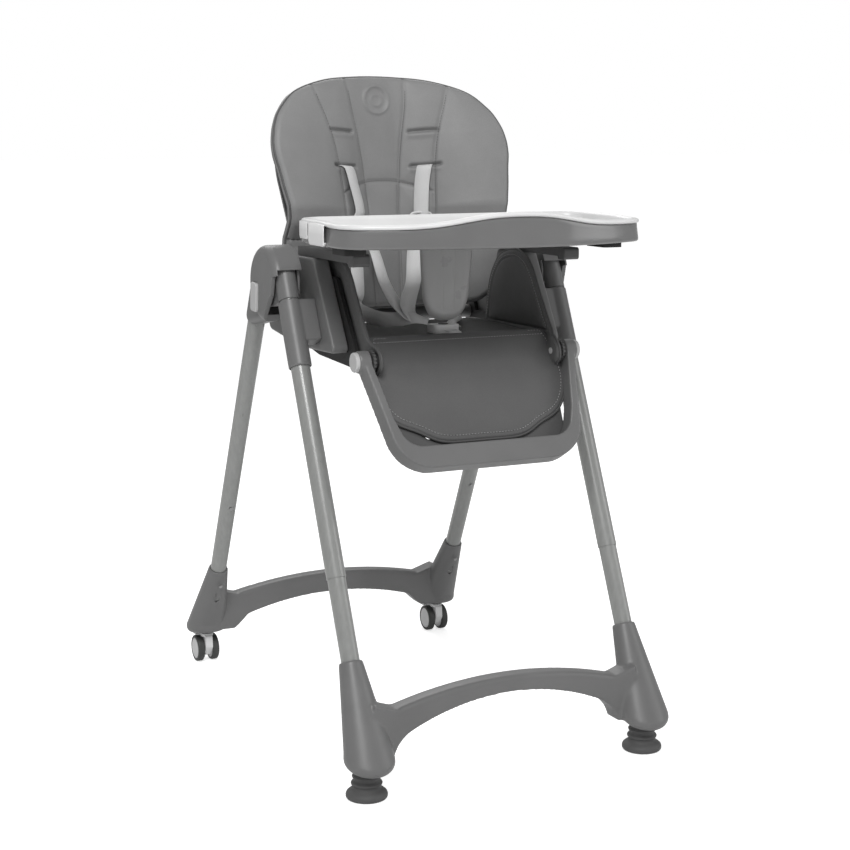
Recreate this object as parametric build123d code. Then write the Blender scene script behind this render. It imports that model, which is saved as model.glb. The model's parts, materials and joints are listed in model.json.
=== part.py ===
from build123d import *
import os
from math import cos, radians, sin, tan

# Folding baby high chair on two A-frame leg pairs.
# Millimetres. +Z is up, the seat faces -Y, and +X is the chair's right-hand side as seen from the front.
# The origin is on the floor, under the centre of the chair's outline.
# Pairs are built on the +X side and mirrored: "right" is +X and "left" is -X.

# ---- driving dimensions ----
FRONT_FOOT_Y = -368.0
REAR_WHEEL_Y = 380.0
FRONT_TRACK = 236.0
REAR_TRACK = 234.0
FRONT_LEAN = 24.3
REAR_LEAN = 25.16
FRONT_CUP_TOP = (FRONT_FOOT_Y + 60, 190.0)
REAR_CUP_TOP = (REAR_WHEEL_Y - 85, 194.0)
FOLD_Y = -23.0
FOLD_Z = 727.0

LOWER_TUBE_R = 14.0
UPPER_TUBE_R = 15.0
TUBE_WALL = 1.5
SWAGE_HEIGHT = 125.0
SLEEVE_START = 455.0
SLEEVE_END = 562.0
COLLAR_END = 625.0

HOOD_R = 60.0
HOOD_IN = 214.5
HOOD_OUT = 262.0
HOOD_WALL = 4.0
COLLAR_R = 16.8

PANEL_IN = 172.0
PANEL_OUT = 198.0
SEAT_TOP_Z = 647.0
SEAT_FRONT_Y = -203.0
BACK_Y = 66.0
BACK_Z = 665.0
RECLINE_Y = BACK_Y + 30
RECLINE_Z = BACK_Z - 10
BACK_LEAN = 9.0
BACK_HEIGHT = 392.0
BACK_HALF_WIDTH = 212.0

FOOTREST_Y = -222.0
FOOTREST_Z = 622.0
FOOTREST_LEAN = 28.7
FOOTREST_DEPTH = 30.0

TRAY_HALF_WIDTH = 249.0
TRAY_FRONT_Y = -393.0
TRAY_BACK_Y = -122.0
TRAY_FLOOR_Z = 797.0
ARMREST_TOP_Z = 783.0
ARMREST_IN = 166.0
ARMREST_OUT = 192.0

WHEEL_R = 24.0
WHEEL_WIDTH = 13.0
WHEEL_GAP = 14.0
CASTER_TRAIL = 10.0

STRAP_WIDTH = 25.0
STRAP_THICKNESS = 1.8
CLEARANCE = 0.3

# ---- shared helpers ----


def save(name, part):
    part.label = name
    export_step(part, f"parts/{name}.step")


def save_pair(name, part):
    """Write a piece made on the +X side, and its mirror image on the other side."""
    save(name + "_right", part)
    save(name + "_left", mirror(part, about=Plane.YZ))


def both_sides(part):
    return Compound(children=[part, mirror(part, about=Plane.YZ)])


def side_plate(face, x_from, x_to):
    """Extrude a face drawn in (y, z) from one x to another."""
    return extrude(Plane.YZ.offset(x_from) * face, amount=x_to - x_from, dir=(1, 0, 0))


def front_plate(face, y_from, y_to):
    """Extrude a face drawn in (x, z) from one y to another, y_from being the rearward one."""
    return extrude(Plane.XZ.offset(-y_from) * face, amount=y_from - y_to, dir=(0, -1, 0))


def upright(face, z, height):
    """Extrude a face drawn in (x, y) upwards from z."""
    return extrude(Pos(0, 0, z) * face, amount=height, dir=(0, 0, 1))


def rounded(points, radius):
    """A closed outline with rounded corners; radius is one value or one for each corner."""
    return make_face(FilletPolyline(*points, radius=radius, close=True))


def rod_x(y, z, x_from, x_to, radius):
    """A round bar along X."""
    return Plane.YZ.offset(x_from) * Pos(y, z) * extrude(Circle(radius), amount=x_to - x_from)


def along(plane, start, end, radius):
    """A round bar along a plane's own Z."""
    return plane * Pos(0, 0, (start + end) / 2) * Cylinder(radius, end - start)


def tube(plane, start, end, radius, bore):
    return along(plane, start, end, radius) - along(plane, start - 1, end + 1, bore)


def leg_plane(track, cup_top, lean):
    """A plane at a cup's mouth, with its Z up along the leg. A negative lean tilts forwards."""
    slope = radians(lean)
    return Plane(
        origin=(track, cup_top[0], cup_top[1]), x_dir=(1, 0, 0), z_dir=(0, sin(slope), cos(slope))
    )


FRONT_LEG = leg_plane(FRONT_TRACK, FRONT_CUP_TOP, FRONT_LEAN)
REAR_LEG = leg_plane(REAR_TRACK, REAR_CUP_TOP, -REAR_LEAN)


def rear_axis_y(z):
    """Where the rear leg's centre line is at a given height."""
    return REAR_CUP_TOP[0] - tan(radians(REAR_LEAN)) * (z - REAR_CUP_TOP[1])


# ---- base mouldings ----


def cup(leg, mouth_r, base_centre, base_r, base_tilt):
    """A conical leg cup: from a ring round the tube down to a rounded, slightly tilted base."""
    slope = radians(base_tilt)
    base = Plane(origin=base_centre, x_dir=(1, 0, 0), z_dir=(0, -sin(slope), cos(slope)))
    wall = loft([leg * Circle(mouth_r), base * Circle(base_r)])
    skirt_depth = 15.0
    skirt = extrude(base * Circle(base_r), amount=-skirt_depth)
    low_edge = skirt.edges().filter_by(GeomType.CIRCLE).sort_by(Axis.Z)[0]
    return wall + fillet(low_edge, 11)


def arch_face(half_span, end_top, crown_top, end_bottom, crown_bottom, foot_z, track):
    """The arch seen from the front: two long arcs, flaring down into the cups at each end."""
    flare = half_span - 22
    upper = ThreePointArc((-half_span, end_top), (0, crown_top), (half_span, end_top))
    lower = ThreePointArc((flare, end_bottom), (0, crown_bottom), (-flare, end_bottom))
    right = Polyline((half_span, end_top), (track, end_top + 12), (track, foot_z), (half_span + 4, foot_z))
    right_flare = ThreePointArc(
        (half_span + 4, foot_z), (half_span - 4, end_bottom - 17), (flare, end_bottom)
    )
    left = mirror(right, about=Plane.YZ)
    left_flare = mirror(right_flare, about=Plane.YZ)
    return make_face(upper.edges() + lower.edges() + right.edges() + right_flare.edges()
                     + left.edges() + left_flare.edges())


def arch_bar(face, cavity_half, crown_bottom, crown_top, y_back, y_front):
    """The arched cross bar, rounded along its top and hollow from below."""
    bar = front_plate(face, y_back, y_front)
    top_edges = [e for e in bar.edges().filter_by(GeomType.CIRCLE)
                 if e.length > 300 and e.center().Z > (crown_top + crown_bottom) / 2 - 5]
    bar = fillet(top_edges, 9)
    roof = crown_top - 4
    hollow_face = make_face(
        ThreePointArc((-cavity_half, roof - 20), (0, roof), (cavity_half, roof - 20)).edges()
        + Polyline((cavity_half, roof - 20), (cavity_half, 20), (-cavity_half, 20),
                   (-cavity_half, roof - 20)).edges()
    )
    wall = 4.0
    return bar - front_plate(hollow_face, y_back - wall, y_front + wall)


def front_base():
    cup_base = (FRONT_TRACK, FRONT_FOOT_Y - 9, 64)
    one_cup = cup(FRONT_LEG, 18, cup_base, 38.5, 17.8)
    face = arch_face(188, 126, 152, 88, 126, 52, FRONT_TRACK - 12)
    bar = arch_bar(face, 160, 126, 152, FRONT_FOOT_Y + 34, FRONT_FOOT_Y - 2)
    body = bar + one_cup + mirror(one_cup, about=Plane.YZ)
    tube_bore = along(FRONT_LEG, -75, 5, LOWER_TUBE_R + 0.1)
    stud_bore = Pos(FRONT_TRACK, FRONT_FOOT_Y, 60) * Cylinder(8.1, 40)
    for cut in (tube_bore, stud_bore):
        body -= cut
        body -= mirror(cut, about=Plane.YZ)
    return body


def rear_base():
    cup_base = (REAR_TRACK, REAR_WHEEL_Y - 8, 72)
    one_cup = cup(REAR_LEG, 17, cup_base, 36, -6)
    face = arch_face(184, 128, 149, 88, 112, 64, REAR_TRACK - 12)
    bar = arch_bar(face, 156, 112, 149, REAR_WHEEL_Y - 6, REAR_WHEEL_Y - 40)
    body = bar + one_cup + mirror(one_cup, about=Plane.YZ)
    tube_bore = along(REAR_LEG, -70, 5, LOWER_TUBE_R + 0.1)
    stem_bore = Pos(REAR_TRACK, REAR_WHEEL_Y - CASTER_TRAIL, 72) * Cylinder(5.6, 44)
    for cut in (tube_bore, stem_bore):
        body -= cut
        body -= mirror(cut, about=Plane.YZ)
    return body


def front_foot(base):
    """A flared rubber foot with a stud that plugs into the cup."""
    profile = make_face(
        Polyline((8, 78), (0, 78), (0, 0), (25, 0)).edges()
        + ThreePointArc((25, 0), (30.5, 6), (30, 16)).edges()
        + ThreePointArc((30, 16), (22.8, 22.5), (20, 31)).edges()
        + Polyline((20, 31), (20, 56), (8, 56), (8, 78)).edges()
    )
    turned = revolve(Plane.XZ * profile, axis=Axis.Z)
    return Pos(FRONT_TRACK, FRONT_FOOT_Y, 0) * turned - base


# ---- legs ----


def front_leg_lower():
    plain = tube(FRONT_LEG, -70, SWAGE_HEIGHT, LOWER_TUBE_R, LOWER_TUBE_R - TUBE_WALL)
    swage_r = UPPER_TUBE_R - TUBE_WALL - 0.1
    swage = tube(FRONT_LEG, SWAGE_HEIGHT - 1, SWAGE_HEIGHT + 60, swage_r, swage_r - 1.2)
    return plain + swage


def front_leg_upper():
    return tube(FRONT_LEG, SWAGE_HEIGHT, COLLAR_END - 22, UPPER_TUBE_R, UPPER_TUBE_R - TUBE_WALL)


def front_collar():
    """The collar on top of the front leg, with the eye that the rear leg's hood turns on."""
    collar = along(FRONT_LEG, SLEEVE_END + 1, COLLAR_END, COLLAR_R)
    arm_face = rounded(
        [(FOLD_Y - 44, FOLD_Z + 22), (FOLD_Y + 6, FOLD_Z + 21), (FOLD_Y + 20, FOLD_Z - 12),
         (FOLD_Y - 8, FOLD_Z - 36), (FOLD_Y - 52, FOLD_Z - 30)], 8)
    arm = side_plate(arm_face, FRONT_TRACK - 15, FRONT_TRACK + 15)
    eye = rod_x(FOLD_Y, FOLD_Z, FRONT_TRACK - 15, FRONT_TRACK + 15, 23)
    limit = rod_x(FOLD_Y, FOLD_Z, HOOD_IN, HOOD_OUT, HOOD_R - HOOD_WALL - 0.6)
    lower = along(FRONT_LEG, SLEEVE_END + 1, SLEEVE_END + 42, COLLAR_R)
    body = ((collar + arm) & limit) + lower + eye
    body -= FRONT_LEG * Pos(0, -10, SLEEVE_END - 29.5) * Box(60, 60, 60)
    leg_bore = along(FRONT_LEG, SLEEVE_END - 10, COLLAR_END - 20, UPPER_TUBE_R + 0.1)
    pin_bore = rod_x(FOLD_Y, FOLD_Z, HOOD_IN - 5, HOOD_OUT, 5.05)
    return body - leg_bore - pin_bore


def fold_pins():
    return both_sides(rod_x(FOLD_Y, FOLD_Z, HOOD_IN + 1, HOOD_OUT - 5, 5))


def collar_screws():
    """A pan-head screw through the back of each collar."""
    seat = FRONT_LEG * Location((0, 0, SLEEVE_END + 14), (0, -90, -52))
    head = seat * Pos(0, 0, COLLAR_R + 0.9) * Cylinder(2.4, 1.6)
    return both_sides(head)


def rear_leg():
    return tube(REAR_LEG, -65, 572, LOWER_TUBE_R, LOWER_TUBE_R - TUBE_WALL)


def rear_screws():
    """Pan-head screws on the front of each rear tube and of each rear cup."""
    screws = []
    for height, depth in ((141, LOWER_TUBE_R), (-26, 21.4)):
        seat = REAR_LEG * Location((0, 0, height), (90, 0, 0))
        screws.append(seat * Pos(0, 0, depth + 1.1) * Cylinder(3.2, 2))
    return Compound(children=screws + [mirror(s, about=Plane.YZ) for s in screws])


# ---- fold joint ----


def hood_outline():
    """Side view of the hood's inner part, drawn out from the fold pin down the rear leg."""
    tail_z = 668.0
    tail = Pos(rear_axis_y(tail_z), tail_z) * Circle(16.5)
    back = Pos(rear_axis_y(FOLD_Z), FOLD_Z) * Circle(16.5)
    disc = Pos(FOLD_Y, FOLD_Z) * Circle(HOOD_R - 3)
    return make_hull((disc + tail + back).edges())


def rims(body, *x_values):
    """The edges of a side plate that lie in the given x planes."""
    return [e for e in body.edges() if any(abs(e.center().X - x) < 0.1 for x in x_values)]


def shoulder_hood():
    disc = rod_x(FOLD_Y, FOLD_Z, HOOD_IN, HOOD_OUT, HOOD_R)
    disc = fillet(rims(disc, HOOD_OUT), 13)
    socket_in, socket_out = REAR_TRACK - 16.5, REAR_TRACK + 16.5
    socket = side_plate(hood_outline(), socket_in, socket_out)
    body = disc + fillet(rims(socket, socket_in, socket_out), 12)
    slot_in = HOOD_IN + HOOD_WALL
    slot_out = HOOD_OUT - 7.5
    slope = radians(REAR_LEAN)
    cavity_disc = rod_x(FOLD_Y, FOLD_Z, slot_in, slot_out, HOOD_R - HOOD_WALL)
    behind = Plane(origin=(0, FOLD_Y, FOLD_Z), x_dir=(1, 0, 0), z_dir=(0, -sin(slope), cos(slope)))
    keep_back = behind * Pos(0, 26 + 100, 0) * Box(700, 200, 500)
    mouth_face = Polygon(
        (FOLD_Y - 120, FOLD_Z + 24), (FOLD_Y - 30, FOLD_Z + 24), (FOLD_Y, FOLD_Z - 20),
        (FOLD_Y + 62, FOLD_Z - 110), (FOLD_Y - 120, FOLD_Z - 110), align=None)
    body -= cavity_disc - keep_back
    body -= side_plate(mouth_face, slot_in, slot_out) - keep_back
    # The cheek next to the seat stops short of the height sleeve's bracket, which swings past it.
    eye = rod_x(FOLD_Y, FOLD_Z, HOOD_IN - 1, slot_in + 1, 47)
    body -= side_plate(mouth_face, HOOD_IN - 1, slot_in + 0.5) - keep_back - eye
    lip_face = Polygon(
        (FOLD_Y - 120, FOLD_Z + 24), (FOLD_Y - 46, FOLD_Z + 14), (FOLD_Y - 38, FOLD_Z - 16),
        (FOLD_Y + 2, FOLD_Z - 62), (FOLD_Y - 60, FOLD_Z - 110), (FOLD_Y - 120, FOLD_Z - 110), align=None)
    body -= side_plate(lip_face, slot_out - 0.5, HOOD_OUT + 1)
    body -= along(REAR_LEG, 450, 575, LOWER_TUBE_R + 0.1)
    body -= rod_x(FOLD_Y, FOLD_Z, HOOD_IN - 5, HOOD_OUT - 4, 5.05)
    body -= button_pocket()
    return body


BUTTON_Y = FOLD_Y + 28
BUTTON_Z = FOLD_Z - 23


def button_face(grow):
    tilt = 4.0
    slab = RectangleRounded(26 + 2 * grow, 46 + 2 * grow, 6 + grow)
    return Pos(BUTTON_Y, BUTTON_Z) * Rot(0, 0, tilt) * slab


def button_pocket():
    return side_plate(button_face(CLEARANCE), HOOD_OUT - 6, HOOD_OUT + 1)


def fold_button():
    body = side_plate(button_face(0), HOOD_OUT - 2.5, HOOD_OUT + 4)
    return fillet(rims(body, HOOD_OUT + 4), 1.8)


# ---- casters ----


def caster_axis_y():
    return REAR_WHEEL_Y - CASTER_TRAIL


def caster_fork():
    """The housing between the twin wheels, with a round crown that the stem turns in."""
    half = WHEEL_GAP / 2 - 0.4
    face = rounded(
        [(caster_axis_y() - 13, 52), (REAR_WHEEL_Y + 8, 52), (REAR_WHEEL_Y + 14, 30),
         (REAR_WHEEL_Y + 9, 14), (REAR_WHEEL_Y - 14, 12), (caster_axis_y() - 15, 30)], 5)
    web = side_plate(face, REAR_TRACK - half, REAR_TRACK + half)
    crown = Pos(REAR_TRACK, caster_axis_y(), 51) * Cylinder(11, 5)
    stem_bore = Pos(REAR_TRACK, caster_axis_y(), 47) * Cylinder(4.05, 22)
    axle_bore = rod_x(REAR_WHEEL_Y, WHEEL_R, REAR_TRACK - half - 1, REAR_TRACK + half + 1, 3.05)
    return web + crown - stem_bore - axle_bore


def caster_stem():
    shaft = Pos(REAR_TRACK, caster_axis_y(), 63) * Cylinder(4, 46)
    bush = Pos(REAR_TRACK, caster_axis_y(), 73) * Cylinder(5.5, 36)
    return shaft + bush


def caster_axle():
    half = WHEEL_GAP / 2 + WHEEL_WIDTH - 4
    return rod_x(REAR_WHEEL_Y, WHEEL_R, REAR_TRACK - half, REAR_TRACK + half, 3)


def caster_wheel(sign):
    """Hub and tyre of one of the twin wheels; sign says which side of the fork."""
    near = REAR_TRACK + sign * (WHEEL_GAP / 2 + 0.2)
    far = REAR_TRACK + sign * (WHEEL_GAP / 2 + WHEEL_WIDTH)
    hub_r = WHEEL_R - 4.5
    hub = rod_x(REAR_WHEEL_Y, WHEEL_R, min(near, far), max(near, far), hub_r)
    outer = [e for e in hub.edges().filter_by(GeomType.CIRCLE) if abs(e.center().X - far) < 0.1]
    hub = fillet(outer, 2.5)
    hub -= rod_x(REAR_WHEEL_Y, WHEEL_R, min(near, far - sign * 3), max(near, far - sign * 3), 3.05)
    tyre = rod_x(REAR_WHEEL_Y, WHEEL_R, min(near, far), max(near, far), WHEEL_R)
    tyre = fillet(tyre.edges().filter_by(GeomType.CIRCLE), 3)
    tyre -= rod_x(REAR_WHEEL_Y, WHEEL_R, min(near, far) - 1, max(near, far) + 1, hub_r)
    return hub, tyre


def caster_brake():
    """A foot pedal hinged on the back of the fork, with its neck between the wheels."""
    y, z = REAR_WHEEL_Y + 14, 45.0
    barrel = rod_x(y, z, REAR_TRACK - 5.5, REAR_TRACK + 5.5, 2.6)
    neck = Pos(REAR_TRACK, y + 5, z) * Box(11, 10, 4)
    pad = Pos(REAR_TRACK, y + 15, z + 0.5) * Box(22, 14, 7)
    pad = fillet(pad.edges().filter_by(Axis.X), 2)
    return barrel + neck + pad


# ---- height carriage ----


def height_sleeve():
    """The sleeve that slides on the front leg, with the bracket that carries the side panel."""
    sleeve = along(FRONT_LEG, SLEEVE_START, SLEEVE_END, 18)
    bracket_x = (PANEL_OUT + FRONT_TRACK) / 2
    bracket = FRONT_LEG * Pos(bracket_x - FRONT_TRACK, 2, (SLEEVE_START + 40 + SLEEVE_END) / 2) * Box(
        FRONT_TRACK - PANEL_OUT, 32, SLEEVE_END - SLEEVE_START - 40)
    bracket = fillet(bracket.edges().filter_by(Axis.X), 3)
    bore = along(FRONT_LEG, SLEEVE_START - 1, SLEEVE_END + 1, UPPER_TUBE_R + CLEARANCE)
    latch_slot = FRONT_LEG * Pos(0, 17, SLEEVE_START + 34) * Box(11, 8, 26)
    return sleeve + bracket - bore - latch_slot


def height_latch():
    """The paddle that is pressed to free the sleeve."""
    paddle = FRONT_LEG * Pos(0, 19.7, SLEEVE_START + 34) * Box(10, 5.4, 24)
    outer = paddle.edges().filter_by(Axis.X)
    return fillet(outer, 1.5)


def side_panel():
    """The upright panel between the sleeve and the seat, which carries the armrest."""
    top = ARMREST_TOP_Z - 14.5
    face = rounded(
        [(-164, 628), (-80, top), (8, top), (24, 700), (112, 684), (120, 640), (-20, 624)],
        [8, 6, 14, 10, 14, 14, 20])
    return fillet(rims(side_plate(face, PANEL_IN, PANEL_OUT), PANEL_OUT), 3)


def armrest():
    """The rail under the tray, with a rounded stop at its front."""
    low = ARMREST_TOP_Z - 14
    face = rounded(
        [(-228, low - 5), (-228, ARMREST_TOP_Z), (-4, ARMREST_TOP_Z), (-4, low), (-206, low),
         (-208, low - 5)], [5, 5, 2, 2, 1, 1])
    return side_plate(face, ARMREST_IN, ARMREST_OUT)


def seat_pan():
    """The moulded pan under the cushion, with ears for the footrest and the backrest."""
    half = PANEL_IN - 0.3
    pan_face = rounded(
        [(SEAT_FRONT_Y - 5, 628), (BACK_Y - 12, 633), (BACK_Y - 12, 617), (SEAT_FRONT_Y + 6, 612)], 4)
    pan = side_plate(pan_face, -half + 6, half - 6)
    web_face = rounded(
        [(SEAT_FRONT_Y + 14, 628), (-110, 740), (-44, 740), (-14, 658), (RECLINE_Y - 22, 658),
         (RECLINE_Y - 14, 676), (RECLINE_Y + 16, 676), (RECLINE_Y + 16, 638), (-40, 612),
         (SEAT_FRONT_Y + 10, 606)], [8, 10, 10, 10, 4, 4, 10, 10, 10, 8])
    web = side_plate(web_face, half - 6.5, half)
    ear = rod_x(FOOTREST_Y, FOOTREST_Z, 148, 160, 14)
    ear_arm = side_plate(rounded(
        [(FOOTREST_Y - 6, FOOTREST_Z - 10), (FOOTREST_Y + 2, FOOTREST_Z + 8), (SEAT_FRONT_Y + 60, 628),
         (SEAT_FRONT_Y + 60, 612)], 2), 148, 160)
    body = pan
    for piece in (web, ear, ear_arm):
        body += piece
        body += mirror(piece, about=Plane.YZ)
    body -= rod_x(FOOTREST_Y, FOOTREST_Z, -170, 170, 5.05)
    body -= rod_x(RECLINE_Y, RECLINE_Z, -half - 1, half + 1, 5.05)
    return body


def footrest_ratchets():
    """Toothed wheels beside the footrest's pivots, which set its angle."""
    wheel = Circle(15) - Circle(5.4)
    for step in range(18):
        wheel += Rot(0, 0, step * 20) * Pos(15.4, 0) * Rectangle(3.2, 2.6)
    return both_sides(side_plate(Pos(FOOTREST_Y, FOOTREST_Z) * wheel, 160.2, 164.2))


# ---- soft seat ----


def seat_pad():
    face = rounded(
        [(SEAT_FRONT_Y + 3, SEAT_TOP_Z), (BACK_Y - 24, SEAT_TOP_Z + 4), (BACK_Y - 24, 636),
         (SEAT_FRONT_Y - 3, 631)], [5, 4, 3, 5])
    return side_plate(face, -150, 150)


def seat_wing():
    """The padded side of the seat, an arch in side view."""
    face = make_face(
        ThreePointArc((SEAT_FRONT_Y + 16, 640), (-58, 765), (BACK_Y - 32, 668)).edges()
        + Polyline((BACK_Y - 32, 668), (BACK_Y - 32, 640), (SEAT_FRONT_Y + 16, 640)).edges()
    )
    return side_plate(face, 152, 164)


# ---- footrest ----

FOOTREST_PLANE = Plane(
    origin=(0, FOOTREST_Y, FOOTREST_Z), x_dir=(1, 0, 0),
    z_dir=(0, -cos(radians(FOOTREST_LEAN)), sin(radians(FOOTREST_LEAN))))


def footrest_frame():
    """The U-shaped leg rest frame, hung from two round pivots."""
    outer = rounded(
        [(-183, 4), (-165, -100), (-152, -178), (152, -178), (165, -100), (183, 4)],
        [1, 60, 62, 62, 60, 1])
    inner = rounded(
        [(-169.5, 40), (-169.5, 4), (-151.5, -96), (-136, -143), (136, -143), (151.5, -96), (169.5, 4),
         (169.5, 40)], [1, 1, 44, 34, 34, 44, 1, 1])
    bar = extrude(FOOTREST_PLANE * (outer - inner), amount=FOOTREST_DEPTH / 2, both=True)
    ring = rod_x(FOOTREST_Y, FOOTREST_Z, 167.5, 186, 17)
    body = bar + ring + mirror(ring, about=Plane.YZ)
    return body - rod_x(FOOTREST_Y, FOOTREST_Z, -200, 200, 5.0)


def footrest_cap():
    """The cap on the outside of the pivot, in one piece with its pin."""
    cap = rod_x(FOOTREST_Y, FOOTREST_Z, 186, 192, 15)
    outer = [e for e in cap.edges().filter_by(GeomType.CIRCLE) if abs(e.center().X - 192) < 0.1]
    return fillet(outer, 2) + rod_x(FOOTREST_Y, FOOTREST_Z, 146, 188, 5.0)


def footrest_plate():
    """The calf plate behind the frame, with three oval holes near its foot."""
    outline = rounded([(-150, -62), (150, -62), (144, -168), (-144, -168)], [8, 8, 48, 48])
    for x, v in ((-75, -118), (0, -124), (75, -118)):
        outline -= Pos(x, v) * SlotOverall(38, 13)
    plate = extrude(FOOTREST_PLANE * outline, amount=-5)
    return FOOTREST_PLANE.z_dir * -(FOOTREST_DEPTH / 2 + 0.1), plate


def leg_flap():
    """The padded flap that hangs over the footrest, inside its frame."""
    outline = rounded(
        [(-157, -18), (157, -18), (148, -96), (104, -132), (-104, -132), (-148, -96)],
        [6, 6, 50, 40, 40, 50])
    return extrude(FOOTREST_PLANE.offset(-12) * outline, amount=4.5)


# ---- backrest ----

BACK_SLOPE = radians(BACK_LEAN)
BACK_PLANE = Plane(
    origin=(0, BACK_Y, BACK_Z), x_dir=(1, 0, 0), z_dir=(0, -cos(BACK_SLOPE), sin(BACK_SLOPE)))
BACK_SECTION = Plane(
    origin=(0, BACK_Y, BACK_Z), x_dir=(1, 0, 0), z_dir=(0, sin(BACK_SLOPE), cos(BACK_SLOPE)))
BACK_WRAP = 62.0


def back_outline(inset):
    """The backrest seen from the front, in its own plane: widest high up, with a round top."""
    wide = BACK_HALF_WIDTH - inset
    low = 168.0 - inset
    top = BACK_HEIGHT - inset
    foot = 10.0 + inset
    side = Line((low, foot), (wide - 5, 205))
    shoulder = ThreePointArc((wide - 5, 205), (wide - 3, 280), (wide - 27, 336))
    corner = ThreePointArc((wide - 27, 336), (wide - 62, top - 26), (98, top - 8))
    crown = ThreePointArc((98, top - 8), (0, top), (-98, top - 8))
    right = [side, shoulder, corner]
    edges = [e for piece in right for e in piece.edges()]
    edges += [e for piece in right for e in mirror(piece, about=Plane.YZ).edges()]
    edges += crown.edges() + Line((-low, foot), (low, foot)).edges()
    return make_face(edges)


def wrapped_layer(front_offset, thickness, inset):
    """A layer of the backrest: its outline cut from a sheet that curves forwards at both sides."""
    reach = 240.0
    wrap = BACK_WRAP * (reach / BACK_HALF_WIDTH) ** 2
    near, far = front_offset, front_offset + thickness
    band = make_face(
        ThreePointArc((-reach, near - wrap), (0, near), (reach, near - wrap)).edges()
        + Line((reach, near - wrap), (reach, far - wrap)).edges()
        + ThreePointArc((reach, far - wrap), (0, far), (-reach, far - wrap)).edges()
        + Line((-reach, far - wrap), (-reach, near - wrap)).edges()
    )
    sheet = extrude(BACK_SECTION * band, amount=BACK_HEIGHT + 20)
    cutter = extrude(BACK_PLANE * back_outline(inset), amount=120, both=True)
    return sheet & cutter


def backrest_pad():
    return wrapped_layer(0, 20, 0)


def backrest_shell():
    """The rigid back, with a hinge barrel along its lower edge."""
    shell = wrapped_layer(20.5, 5, 14)
    barrel = rod_x(RECLINE_Y, RECLINE_Z, -163, 163, 11)
    neck = side_plate(rounded(
        [(RECLINE_Y - 5, RECLINE_Z), (RECLINE_Y - 1, RECLINE_Z + 64), (RECLINE_Y + 7, RECLINE_Z + 64),
         (RECLINE_Y + 7, RECLINE_Z)], 2), -120, 120)
    body = shell + neck + barrel
    body -= rod_x(RECLINE_Y, RECLINE_Z, -200, 200, 5.05)
    handle_gap = BACK_PLANE * Pos(0, 190, -27) * Box(64, 60, 20)
    return body - handle_gap


def recline_pin():
    return rod_x(RECLINE_Y, RECLINE_Z, -PANEL_IN, PANEL_IN, 5)


def recline_handle():
    """The pull handle in the middle of the backrest's rear face."""
    grip = BACK_PLANE * Pos(0, 184, -27) * Box(60, 30, 9)
    return fillet(grip.edges(), 2.5)


# ---- tray ----


def tray_outline(inset):
    """The tray from above: a long bowed front, and rounder corners in front than behind."""
    w = TRAY_HALF_WIDTH - inset
    front = TRAY_FRONT_Y + inset
    back = TRAY_BACK_Y - inset
    front_arc = ThreePointArc((-w + 40, front + 46), (0, front), (w - 40, front + 46))
    corner = ThreePointArc((w - 40, front + 46), (w - 10, front + 70), (w, front + 112))
    side = Line((w, front + 112), (w - 3, back - 50))
    back_corner = ThreePointArc((w - 3, back - 50), (w - 16, back - 14), (w - 50, back))
    right = [corner, side, back_corner]
    edges = [e for piece in right for e in piece.edges()]
    edges += [e for piece in right for e in mirror(piece, about=Plane.YZ).edges()]
    edges += front_arc.edges() + Line((w - 50, back), (50 - w, back)).edges()
    return make_face(edges)


def tray_wave(lift):
    """Everything under the tray's rim, which rises in a wave in the middle of the front."""
    w = TRAY_HALF_WIDTH + 10
    crest, dip, end = 843 + lift, 829 + lift, 831 + lift
    wave = Spline((-w, end), (-150, dip), (0, crest), (150, dip), (w, end))
    return make_face(wave.edges() + Polyline((w, end), (w, 700), (-w, 700), (-w, end)).edges())


def tray():
    """The main tray: a shallow tub with a wavy rim, and channels under it for the armrests."""
    block = upright(tray_outline(0), TRAY_FLOOR_Z, 60)
    low_rim = [e for e in block.edges() if abs(e.center().Z - TRAY_FLOOR_Z) < 0.1]
    block = fillet(low_rim, 4)
    hollow = upright(tray_outline(4), TRAY_FLOOR_Z + 3.5, 80)
    body = block - hollow
    body &= front_plate(tray_wave(0), 100, TRAY_FRONT_Y - 10)
    for inner, outer in ((ARMREST_IN - 5, ARMREST_IN - 0.6), (ARMREST_OUT + 0.6, ARMREST_OUT + 2.6)):
        channel = side_plate(rounded([(-330, 771), (-150, 771), (-150, 799), (-330, 799)], 3), inner, outer)
        body += channel
        body += mirror(channel, about=Plane.YZ)
    return body


def insert_tray():
    """The lift-off tray top, with a thick rolled rim that follows the wave."""
    rim_r = 3.4
    outer = upright(tray_outline(-1.5), TRAY_FLOOR_Z + 10, 60)
    inner = upright(tray_outline(11), TRAY_FLOOR_Z + 10, 60)
    band = front_plate(tray_wave(2 * rim_r), 100, TRAY_FRONT_Y - 10) - front_plate(
        tray_wave(0.4), 101, TRAY_FRONT_Y - 11)
    rim = (outer - inner) & band
    wall_outer = upright(tray_outline(7), TRAY_FLOOR_Z + 12, 60)
    wall_inner = upright(tray_outline(11), TRAY_FLOOR_Z + 15, 60)
    dish = (wall_outer & front_plate(tray_wave(2), 101, TRAY_FRONT_Y - 11)) - wall_inner
    return rim + dish


def crotch_guard():
    """The tongue that hangs from the back of the tray between the child's legs."""
    outline = rounded([(-46, 796.7), (46, 796.7), (36, 690), (16, 670), (-16, 670), (-36, 690)],
                      [2, 2, 22, 12, 12, 22])
    front = front_plate(outline, -146, -158)
    return fillet(front.edges().group_by(Axis.Y)[0], 3)


def tray_latch():
    """The squeeze button under the tray's side that frees it from the armrest."""
    body = Pos(215, -265, 791.2) * Box(34, 58, 10)
    return fillet(body.edges().filter_by(Axis.Z), 8)


# ---- harness ----


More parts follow.
